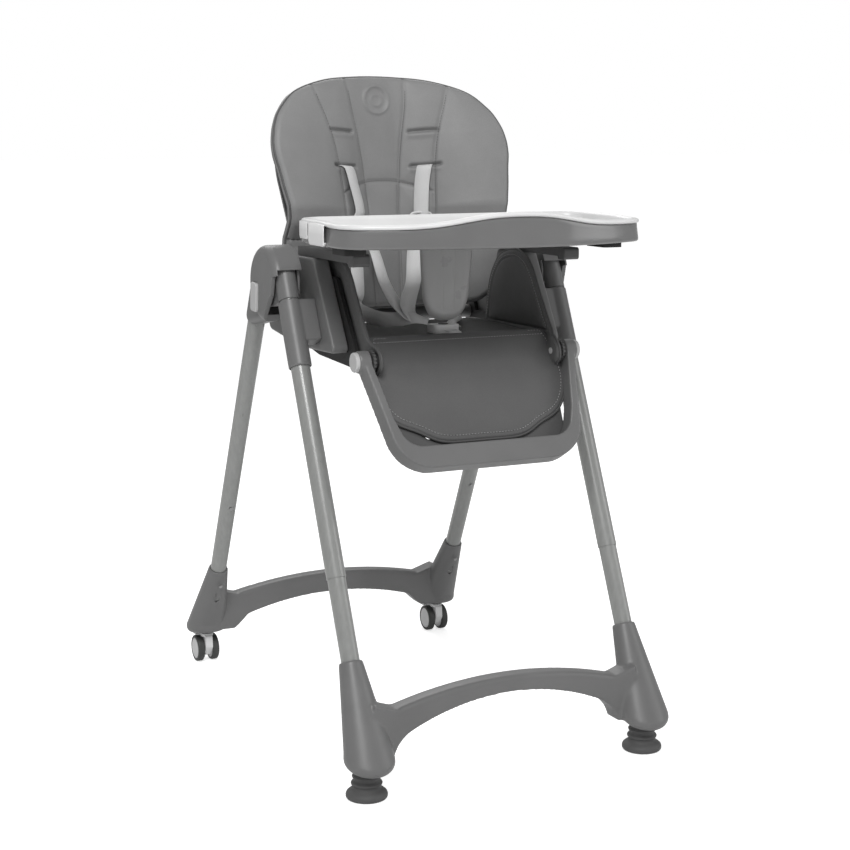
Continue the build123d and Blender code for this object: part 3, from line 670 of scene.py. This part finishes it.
def make_backrest():
    outline = mirrored_loop(
        [(0, 6), (110, 6), (150, 8), (170, 18), (188, 35), (195, 62), (197, 110), (196, 138), (196, 154),
         (198, 172), (203, 200),
         (207, 228), (211.5, 254), (210.5, 280), (203, 307), (188, 332), (156, 361), (100, 382), (45, 391),
         (0, 393)],
        460)
    inner = curve([(56, 392), (51, 340), (43, 290), (37, 245), (33, 205), (29, 160), (26, 90), (24, 10)], 60)
    outer = curve([(127, 380), (117, 347), (105, 311), (97, 280), (92, 248), (89, 215), (86, 165), (80, 90),
                   (76, 10)], 60)
    arch = curve([(-87, 194), (-60, 207), (-34, 215), (0, 217.5), (34, 215), (60, 207), (87, 194)], 50)
    seams = [inner, outer, inner * [-1, 1], outer * [-1, 1], arch]

    def details(flat):
        lift = np.zeros(len(flat))
        for side in (1, -1):
            for s in (SLOT_LOW, SLOT_HIGH):
                gap = distance_to(flat, [(side * (SLOT_X - SLOT_HALF), s), (side * (SLOT_X + SLOT_HALF), s)])
                lift -= 7.0 * np.exp(-((gap / 2.6) ** 2))
                above = distance_to(flat, [(side * (SLOT_X - 18), s - 7), (side * (SLOT_X + 18), s - 7)])
                lift += 1.3 * np.exp(-((above / 4.5) ** 2))
        r = np.linalg.norm(flat - MEDALLION, axis=1)
        lift += 2.4 * np.exp(-(((r - 22) / 2.2) ** 2)) - 1.6 * np.exp(-((r / 18) ** 8))
        lift += 1.5 * np.exp(-(((r - 9) / 2.6) ** 2))
        return lift

    pad_obj = pad("backrest_cushion", outline, back_place, 11, 10, 9, "back", "backrest", seams=seams,
                  groove=(1.9, 2.2), puff=(2.6, 16), extra=details, rings=120,
                  behind=back_behind)
    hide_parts("backrest_pad")
    edge = on_back(inset_loop(outline, 1.5), 4.5)
    tube_along("backrest_piping", edge, 2.3, "binding", "backrest", closed=True, sides=8)
    rear = back_behind(inset_loop(outline, 3.0), np.full(len(outline), -8.0))
    tube_along("backrest_rear_piping", rear, 1.6, "binding", "backrest", closed=True, sides=8)
    line = arch[8:-8]
    stitches("backrest_arch_stitch_0", on_back(line, 12.2), back_normal(line), "stitch_dark", "backrest",
             length=2.6, gap=2.0, radius=0.5)
    for side in (1, -1):
        for label, line in (("inner", inner), ("outer", outer)):
            path = line[4:] * [side, 1] + [side * 1.7, 0]
            stitches(f"backrest_{label}_stitch_{'r' if side > 0 else 'l'}", on_back(path, 12.1),
                     back_normal(path), "stitch_dark", "backrest", length=2.4, gap=2.2, radius=0.38)


# ---------------------------------------------------------------- seat, wings and leg flap


SEAT_FRONT_Y, SEAT_TOP_Z, SEAT_LENGTH, SEAT_RISE = -184, 640, 225, 4


def make_seat():
    outline = curve(
        [(0, -184), (120, -184), (146, -180), (151, -160), (151, -60), (150, 20), (140, 38), (60, 41),
         (0, 41)], 120)
    left = outline[::-1] * [-1, 1]
    outline = resample(np.vstack([outline, left[1:-1]]), 300, closed=True)

    def place(points, height):
        x, y = points[:, 0], points[:, 1]
        rise = (y - SEAT_FRONT_Y) / SEAT_LENGTH * SEAT_RISE
        dip = 1.5 * np.exp(-((x / 60) ** 2 + ((y + 120) / 45) ** 2))
        z = SEAT_TOP_Z + rise + height - dip
        return np.stack([x, y, z], 1)

    pocket = curve([(-15, -150), (15, -150)], 4)
    obj = pad("seat_cushion", outline, place, 6.5, 12, 7, "seat", "seat_carriage", seams=[pocket],
              groove=(2.0, 2.5), puff=(2.2, 30), rings=60)
    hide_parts("seat_pad")


LOBE_Y, LOBE_Z = -222, 622
WING_X = 160


def wing_place(side):
    def place(points, height):
        ear = np.exp(-((np.hypot(points[:, 0] - LOBE_Y, points[:, 1] - LOBE_Z) / 26) ** 4))
        return np.stack([side * (WING_X - height - 8 * ear), points[:, 0], points[:, 1]], 1)
    return place


def make_wings():
    outline = curve(
        [(14, 642), (17, 675), (8, 712), (-6, 738), (-31, 761), (-72, 772), (-108, 767), (-137, 748),
         (-169, 703), (-205, 654), (-226, 642), (-239, 629), (-240, 612), (-226, 602), (-207, 607),
         (-186, 622), (-150, 636), (-60, 638)], 340, closed=True)
    for side, label in ((1, "right"), (-1, "left")):
        place = wing_place(side)
        seam = inset_loop(outline, 12)
        top = seam[:, 1] > 652
        first = int(np.argmax(~top & np.roll(top, -1)))
        ordered = np.roll(seam, -first - 1, axis=0)
        seam_line = ordered[ordered[:, 1] > 650]
        obj = pad(f"seat_wing_cushion_{label}", outline, place, 4, 5, 2.5, "seat", "seat_carriage",
                  seams=[seam_line], groove=(1.6, 2.0), puff=(2.4, 18), rings=60)
        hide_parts(f"seat_wing_{label}")
        tube_along(f"seat_wing_piping_{label}", place(outline, np.full(len(outline), 1.2)), 2.0, "binding",
                   "seat_carriage", closed=True, sides=8)
        row = inset_loop(outline, 8.5)
        row = np.roll(row, -first - 1, axis=0)
        row = row[row[:, 1] > 655]
        stitches(f"seat_wing_stitch_{label}", place(row, np.full(len(row), 5.3)), (-side, 0, 0),
                 "stitch_pale", "seat_carriage", length=2.6, gap=2.2, radius=0.4)


FLAP_PATH = curve([(-176, 649), (-184, 647.5), (-190.5, 642), (-201, 629), (-211.5, 614), (-219, 600.5),
                   (-243, 556.5), (-274.5, 499)], 120)
FLAP_STEPS = np.r_[0, np.cumsum(np.linalg.norm(np.diff(FLAP_PATH, axis=0), axis=1))]
FLAP_LENGTH = FLAP_STEPS[-1]


def flap_place(points, height):
    x, t = points[:, 0], points[:, 1]
    y = np.interp(t, FLAP_STEPS, FLAP_PATH[:, 0])
    z = np.interp(t, FLAP_STEPS, FLAP_PATH[:, 1])
    slope = np.gradient(FLAP_PATH, axis=0)
    slope /= np.linalg.norm(slope, axis=1)[:, None]
    dy = np.interp(t, FLAP_STEPS, slope[:, 0])
    dz = np.interp(t, FLAP_STEPS, slope[:, 1])
    return np.stack([x, y + dz * height, z - dy * height], 1)


def make_flap():
    end = FLAP_LENGTH
    outline = mirrored_loop(
        [(0, 1), (120, 1), (146, 2), (154, 13), (162, 42), (167, 80), (162.5, 108), (152, 130), (135, 148),
         (106, 162), (66, end - 2), (0, end)], 360)
    obj = pad("leg_flap_cushion", outline, flap_place, 4.5, 5, 3.5, "seat", None, groove=(0, 1),
              puff=(2.4, 26), rings=90)
    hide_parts("leg_flap")
    binding = tube_along("leg_flap_binding", flap_place(outline, np.full(len(outline), 1.0)), 2.5, "binding",
                         None, closed=True, sides=8)
    row = inset_loop(outline, 9)
    first = int(np.argmin(np.abs(row[:, 0]) + 5 * np.abs(row[:, 1] - row[:, 1].min())))
    row = np.roll(row, -first, axis=0)
    side_row = row[(row[:, 1] > 10)]
    normal = flap_place(side_row, np.ones(len(side_row))) - flap_place(side_row, np.zeros(len(side_row)))
    hem = stitches("leg_flap_stitch", flap_place(side_row, np.full(len(side_row), 5.6)), normal,
                   "stitch_pale", None, length=2.8, gap=2.4, radius=0.55)
    fold = np.stack([np.linspace(-146, 146, 60), np.full(60, 17.0)], 1)
    normal = flap_place(fold, np.ones(60)) - flap_place(fold, np.zeros(60))
    top = stitches("leg_flap_fold_stitch", flap_place(fold, np.full(60, 5.9)), normal, "stitch_pale", None,
                   length=2.8, gap=2.0, radius=0.5)
    for piece in (obj, binding, hem, top):
        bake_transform(piece)


# ---------------------------------------------------------------- tray


RIM_Z = 829.5
TRAY_FLOOR_Z, TRAY_UNDER_Z = 812.6, 810.6


def tray_loop(inset, count=420):
    x = np.linspace(0, 204, 16)
    front = np.stack([x, -393 + 44 * (x / 204) ** 2], 1)
    side = [(232, -333), (246, -308), (249, -276), (248.5, -226), (247, -174), (239, -142), (222, -127),
            (196, -122), (100, -122), (0, -122)]
    loop = mirrored_loop(np.vstack([front, side]), count)
    return inset_loop(smooth_loop(loop, 6), inset)


def tray_rim(loop, lift=0.0):
    """Height of the rim: a broad raised wave in the middle of the front, falling to a low edge at each corner."""
    x, y = loop[:, 0], loop[:, 1]
    front = step((-215 - y) / 90)
    wave = 17.0 * np.exp(-((np.abs(x) / 105) ** 2.6)) - 2.7
    return RIM_Z + lift + front * wave


def loft(name, rings, material, body, cap_first=True, cap_last=True):
    """A surface through closed rings of 3D points that all have the same count."""
    count = len(rings[0])
    verts = np.vstack(rings)
    faces = grid_faces(len(rings), count, True)
    verts_list = list(verts)
    for cap, ring in ((cap_first, 0), (cap_last, len(rings) - 1)):
        if not cap:
            continue
        centre = len(verts_list)
        verts_list.append(rings[ring].mean(0))
        for k in range(count):
            a, b = ring * count + k, ring * count + (k + 1) % count
            faces.append((a, b, centre) if ring else (b, a, centre))
    obj = new_object(name, verts_list, faces, material, body)
    work = bmesh.new()
    work.from_mesh(obj.data)
    bmesh.ops.recalc_face_normals(work, faces=work.faces)
    work.to_mesh(obj.data)
    work.free()
    return obj


def ring_at(inset, z):
    loop = tray_loop(inset)
    height = z(loop) if callable(z) else np.full(len(loop), float(z))
    return np.column_stack([loop, height])


def floor_ring(scale, z):
    """A ring on the flat floor of the tray: the floor's outline drawn in towards its middle."""
    loop = tray_loop(24)
    middle = loop.mean(0)
    return np.column_stack([middle + (loop - middle) * scale, np.full(len(loop), z)])


def make_tray():
    def under(lift):
        return lambda loop: tray_rim(loop, lift)

    body = [ring_at(30, 798.5), ring_at(9, 798.2), ring_at(4.5, 797.2), ring_at(1.2, 797.6),
            ring_at(-0.6, 799.4), ring_at(-0.8, 802), ring_at(0.2, 810), ring_at(1.4, under(-8)),
            ring_at(1.6, under(-3.4)), ring_at(2.2, under(-2.2)), ring_at(3.4, under(-1.8)),
            ring_at(5.4, under(-2.0)), ring_at(5.8, 806), ring_at(8, 801.5), ring_at(30, 801)]
    tray = loft("tray_tub", body, "tray", "tray")
    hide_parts("tray")
    rim = [ring_at(5.2, under(-0.6)), ring_at(1.2, under(-1.6)), ring_at(-0.8, under(-0.4)),
           ring_at(-1.4, under(1.8)), ring_at(-0.4, under(3.9)), ring_at(2.2, under(5.2)),
           ring_at(6.0, under(5.5)), ring_at(9.6, under(4.4)), ring_at(11.6, under(1.6)),
           ring_at(12.6, under(-3.5)), ring_at(15.5, 818), ring_at(18.5, 814.6), ring_at(24, 813),
           floor_ring(0.5, TRAY_FLOOR_Z)]
    below = [floor_ring(0.5, TRAY_UNDER_Z), ring_at(22, TRAY_UNDER_Z), ring_at(14.5, 814),
             ring_at(11.0, under(-4)), ring_at(9.5, under(-0.6))]
    top = loft("tray_insert", rim + below + [rim[0]], "light", "insert_tray", False, False)
    fill_disc("tray_insert_floor", floor_ring(0.505, TRAY_FLOOR_Z), "light", "insert_tray", 1.9)
    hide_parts("insert_tray")
    make_tray_tabs()


def fill_disc(name, ring, material, body, thick):
    """A flat plate under a closed ring."""
    low = ring - [0, 0, thick]
    return loft(name, [ring, low], material, body)


def make_tray_tabs():
    """The light skirt and the clip that hold the lift-off top over each end of the tub."""
    outer = tray_loop(-3.4, 900)
    inner = tray_loop(-1.0, 900)
    for side, label in ((1, "right"), (-1, "left")):
        for part, y_low, y_high, foot in (("skirt", -196, -148, 806), ("clip", -264, -201, 799)):
            pick = (outer[:, 0] * side > 150) & (outer[:, 1] > y_low) & (outer[:, 1] < y_high)
            index = np.where(pick)[0]
            out_line, in_line = outer[index], inner[index]
            order = np.argsort(out_line[:, 1])
            out_line, in_line = out_line[order], in_line[order]
            if part == "clip":
                out_line = in_line + (out_line - in_line) * 1.5
            rows = []
            count = len(out_line)
            ends = np.minimum(np.arange(count), np.arange(count)[::-1]) / 4.0
            rounding = np.clip(1 - ends, 0, 1) ** 2 * 5
            top = tray_rim(out_line, 1.0)
            for frac, line, grow in ((0.0, in_line, 0), (0.0, out_line, 0), (0.5, out_line, 0.4),
                                     (0.92, out_line, 0.2), (1.0, out_line, -0.8), (1.0, in_line, 0)):
                z = top + (foot + rounding - top) * frac
                rows.append(np.column_stack([line + (line - in_line) * 0.1 * grow, z]))
            verts = np.vstack(rows)
            faces = grid_faces(len(rows), count)
            obj = new_object(f"tray_{part}_{label}", verts, faces, "light", "insert_tray")
            solid = obj.modifiers.new("solid", "SOLIDIFY")
            solid.thickness = 0.0012
            solid.offset = 0


GUARD_Y = -146
GUARD_TOP_Z = 797.0


def make_guard():
    outline = curve([(46, 797), (44, 760), (40.5, 715), (36, 694), (27, 678), (14, 670.5), (0, 669),
                     (-14, 670.5), (-27, 678), (-36, 694), (-40.5, 715), (-44, 760), (-46, 797)], 200)
    outline = np.vstack([outline, [(x, GUARD_TOP_Z) for x in np.linspace(-44, 44, 40)]])

    def place(points, height):
        x, z = points[:, 0], points[:, 1]
        return np.stack([x, GUARD_Y - height + 4 * ((800 - z) / 130) ** 2, z], 1)

    seams = [np.array([(11.0, 796), (9, 690)]), np.array([(-11.0, 796), (-9, 690)])]
    obj = pad("crotch_guard_tongue", outline, place, 11, 15, 3, "guard", "tray", seams=seams,
              groove=(0.7, 1.2), puff=(1.2, 20), rings=60)
    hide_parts("crotch_guard")


# ---------------------------------------------------------------- harness


def strap_line(points, across, name, width=25, count=110, body="seat_carriage"):
    path = curve(points, count)
    w = curve(across, count)
    return strap(name, path, w, width, body)


def make_harness():
    def back(x, s, h):
        return on_back([(x, s)], 12 + h)[0]

    def slope(x, s):
        return on_back([(x + 2, s)], 0)[0] - on_back([(x - 2, s)], 0)[0]

    x_axis = (1.0, 0, 0)
    right = [back(78, 241, -7), back(77, 238, 1.5), back(75, 230, 5.5), back(71, 205, 7), back(68, 168, 9),
             (54, 58, 800), (34, 40, 769), (3, -20, 723), (-31, -76, 701), (-48, -108, 687), (-46, -130, 668)]
    right_across = [slope(78, 241), slope(77, 238), slope(75, 230), slope(71, 205), slope(68, 168), x_axis,
                    x_axis, (1, 0.1, -0.1), (1, 0.25, -0.1), (1, 0.4, -0.1), (1, 0.4, 0)]
    left = [back(-78, 241, -7), back(-77, 238, 1.5), back(-75, 230, 5.5), back(-71, 205, 7),
            back(-65, 168, 9), (-60, 58, 810), (-50, 20, 772), (-55, -30, 726), (-58, -75, 699),
            (-58, -108, 681), (-46, -132, 667)]
    left_across = [slope(-78, 241), slope(-77, 238), slope(-75, 230), slope(-71, 205), slope(-64, 168),
                   (1, 0.2, -0.1), (1, 0.35, -0.2), (1, 0.5, -0.1), (1, 0.5, 0), (0.9, 0.6, 0), (0.8, 0.6, 0)]
    for line, across, label in ((right, right_across, "right"), (left, left_across, "left")):
        obj = strap_line(line, across, f"shoulder_strap_{label}", width=25, count=170, body=None)
        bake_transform(obj)
        if label == "right":
            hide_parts("shoulder_straps")
    belts = {
        1: ([(104, 42, 690), (92, 20, 670), (74, -30, 658), (52, -76, 657.5), (34, -112, 659),
             (16, -140, 661)],
            [(1, 0, 0), (1, 0.2, 0), (0.9, 0.5, 0.1), (0.8, 0.7, 0.1), (0.6, 0.8, 0.1), (0.3, 1, 0)]),
        -1: ([(-72, 40, 760), (-85, 5, 706), (-97, -8, 688), (-94, -26, 676), (-80, -75, 668),
              (-64, -108, 670), (-50, -132, 673), (-30, -144, 668)],
             [(1, 0.2, 0), (1, 0.3, 0.1), (0.6, 0.4, 0.5), (0.2, 0.3, 0.9), (0, 0.3, 1), (0, 0.4, 1),
              (0.1, 0.6, 0.8), (0.1, 0.9, 0.3)]),
    }
    for side, label in ((1, "right"), (-1, "left")):
        belt, across = belts[side]
        obj = strap_line(belt, across, f"waist_strap_{label}", width=24)
        if side > 0:
            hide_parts("waist_straps")
    crotch = strap_line([(0, -187, 646), (0, -184, 651), (0, -177, 654), (0, -169, 655), (0, -163, 655)],
                        [x_axis] * 5, "crotch_webbing", width=22)
    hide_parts("crotch_strap")
    make_slider()


def make_slider():
    """The webbing adjuster: an open frame with a centre bar."""
    centre = on_back([(67.5, 154)], 22)[0]
    n = back_normal([(67.5, 154)])[0]
    up = BACK_UP
    outer = [(-16, -6.5), (16, -6.5), (16, 6.5), (-16, 6.5)]
    path = curve([centre + x * ACROSS + s * up for x, s in outer], 60, closed=True)
    frame_obj = tube_along("strap_slider_frame", path, 2.0, "light", "backrest", closed=True, sides=10, up=n)
    bar = [centre + x * ACROSS + n * 0.6 for x in np.linspace(-15, 15, 12)]
    tube_along("strap_slider_bar", bar, 1.5, "light", "backrest", sides=10)
    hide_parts("strap_slider")


# ---------------------------------------------------------------- feet


FOOT_X, FOOT_Y = 237, -368


def make_feet():
    profile = [(0.5, 0), (26, 0), (29.2, 1.0), (31, 3.4), (31.2, 6.5), (30, 9.6), (26.8, 12.4), (23.4, 14.2),
               (21.4, 16.6), (21.0, 19.0), (21.6, 20.8), (23.0, 21.8), (23.4, 23.6), (22.4, 25.4),
               (20.6, 26.6), (19.8, 29.0), (19.8, 31.0), (21.4, 32.4), (21.8, 34.2), (20.8, 36.0),
               (19.6, 37.4), (19.4, 41), (19.4, 52), (0.5, 52)]
    for side, label in ((1, "right"), (-1, "left")):
        obj = lathe(f"front_foot_{label}", profile, (side * FOOT_X, FOOT_Y, 0), "rubber", "front_frame")
        if side > 0:
            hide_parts("front_feet")


# ---------------------------------------------------------------- assembly

make_backrest()
make_seat()
make_wings()
make_flap()
make_tray()
make_guard()
make_harness()
make_feet()

softened("front_base", "hard", 0.0019, 24)
softened("rear_base", "hard", 0.0016, 16)
softened("footrest_frame", "hard", 0.002, 6)
for hand in ("_left", "_right"):
    softened("shoulder_hood" + hand, "hard", 0.001, 2)
    softened("height_sleeve" + hand, "hard", 0.0015, 4)
    softened("side_panel" + hand, "hard", 0.0015, 4)
    softened("front_collar" + hand, "hard", 0.0013, 3)

FINISH = {
    "tube": ["front_leg_lower", "front_leg_upper", "rear_leg"],
    "hard": ["backrest_shell"],
    # darker grey on footrest plate, armrests and ratchets: painted shade
    "painted_shade_grey": ["footrest_plate", "armrests", "footrest_ratchets"],
    # seat_pan made near black as painted shade for the dark gap between side panels and seat wings; the tray
    # latch is black
    "black": ["seat_pan", "tray_latch"],
    "light": ["caster_brake", "caster_fork", "buckle"],
    "button": ["fold_button", "height_latch", "recline_handle", "footrest_caps"],
    "disc": ["caster_hubs"],
    "tyre": ["caster_tyres"],
    "hard_dark": ["buckle_button"],
    "steel": ["caster_axle", "caster_stems", "fold_pins", "collar_screws", "rear_screws", "recline_pin"],
}
SMALL_BEVEL = {"armrests": 1.6, "fold_button": 0.8, "caster_fork": 0.8, "buckle": 1.2, "tray_latch": 1.2,
               "caster_brake": 0.8, "footrest_plate": 1.0}
for material_key, names in FINISH.items():
    for name in names:
        for node in (name, name + "_left", name + "_right"):
            if node not in NODES or NODES[node].hide_render:
                continue
            if name in SMALL_BEVEL:
                bevelled(node, material_key, SMALL_BEVEL[name])
            else:
                paint(node, material_key)

# ---------------------------------------------------------------- floor, light and camera


FLOOR_GLOW = 0.63
FLOOR_SIZE = 50
SKY_LIGHT = 0.42
LIGHTS = [
    ("key", (-1.4, -2.4, 3.2), (0, 0, 0.6), (1.3, 1.3), 78),
    ("fill", (2.6, -1.6, 1.8), (0, 0, 0.6), (1.2, 2.0), 14),
    ("back", (0.6, 2.6, 2.6), (0, 0, 0.7), (2.4, 1.4), 30),
]
CAMERA_PLACE = (-1.2116, -2.6046, 0.9677)
CAMERA_TILT, CAMERA_TURN = 80.36, -25.55
CAMERA_LENS, CAMERA_SENSOR, CAMERA_REACH = 74.12, 36, 200


def make_stage():
    work = bmesh.new()
    bmesh.ops.create_grid(work, x_segments=8, y_segments=8, size=FLOOR_SIZE)
    mesh = bpy.data.meshes.new("floor")
    work.to_mesh(mesh)
    work.free()
    floor = bpy.data.objects.new("floor", mesh)
    bpy.context.scene.collection.objects.link(floor)
    g = Graph("floor_paint")
    colour = g.ramp(g.noise(1.5, 2), (0.93, 0.93, 0.93, 1), (0.95, 0.95, 0.95, 1))
    g.finish(colour, g.spread(g.noise(4, 2), 0.7, 0.8), g.bump(g.noise(60, 2), 0.05, 0.0005),
             Specular_IOR_Level=0.0, Emission_Color=(1, 1, 1, 1))
    seen = g.node("ShaderNodeLightPath").outputs["Is Camera Ray"]
    g.link(g.math("MULTIPLY", seen, FLOOR_GLOW), g.shader.inputs["Emission Strength"])
    mesh.materials.append(g.material)


def area(name, place, aim, size, power):
    light = bpy.data.lights.new(name, "AREA")
    light.shape = "RECTANGLE"
    light.size, light.size_y = size
    light.energy = power
    obj = bpy.data.objects.new(name, light)
    bpy.context.scene.collection.objects.link(obj)
    obj.location = place
    obj.rotation_mode = "QUATERNION"
    obj.rotation_quaternion = (Vector(aim) - Vector(place)).to_track_quat("-Z", "Y")


def make_light():
    world = bpy.data.worlds.new("studio")
    world.use_nodes = True
    nodes, links = world.node_tree.nodes, world.node_tree.links
    soft = nodes["Background"]
    soft.inputs["Color"].default_value = (1, 1, 1, 1)
    soft.inputs["Strength"].default_value = SKY_LIGHT
    seen = nodes.new("ShaderNodeBackground")
    seen.inputs["Color"].default_value = (1, 1, 1, 1)
    seen.inputs["Strength"].default_value = 1.0
    mix = nodes.new("ShaderNodeMixShader")
    links.new(nodes.new("ShaderNodeLightPath").outputs["Is Camera Ray"], mix.inputs[0])
    links.new(soft.outputs[0], mix.inputs[1])
    links.new(seen.outputs[0], mix.inputs[2])
    links.new(mix.outputs[0], nodes["World Output"].inputs["Surface"])
    bpy.context.scene.world = world
    for name, place, aim, size, power in LIGHTS:
        area(name, place, aim, size, power)


def make_camera():
    data = bpy.data.cameras.new("camera")
    data.sensor_width = CAMERA_SENSOR
    data.lens = CAMERA_LENS
    data.clip_end = CAMERA_REACH
    camera = bpy.data.objects.new("camera", data)
    bpy.context.scene.collection.objects.link(camera)
    camera.location = CAMERA_PLACE
    camera.rotation_euler = (math.radians(CAMERA_TILT), 0, math.radians(CAMERA_TURN))
    bpy.context.scene.camera = camera


make_stage()
make_light()
make_camera()
bpy.context.scene.view_settings.view_transform = "Standard"

bpy.context.view_layer.update()
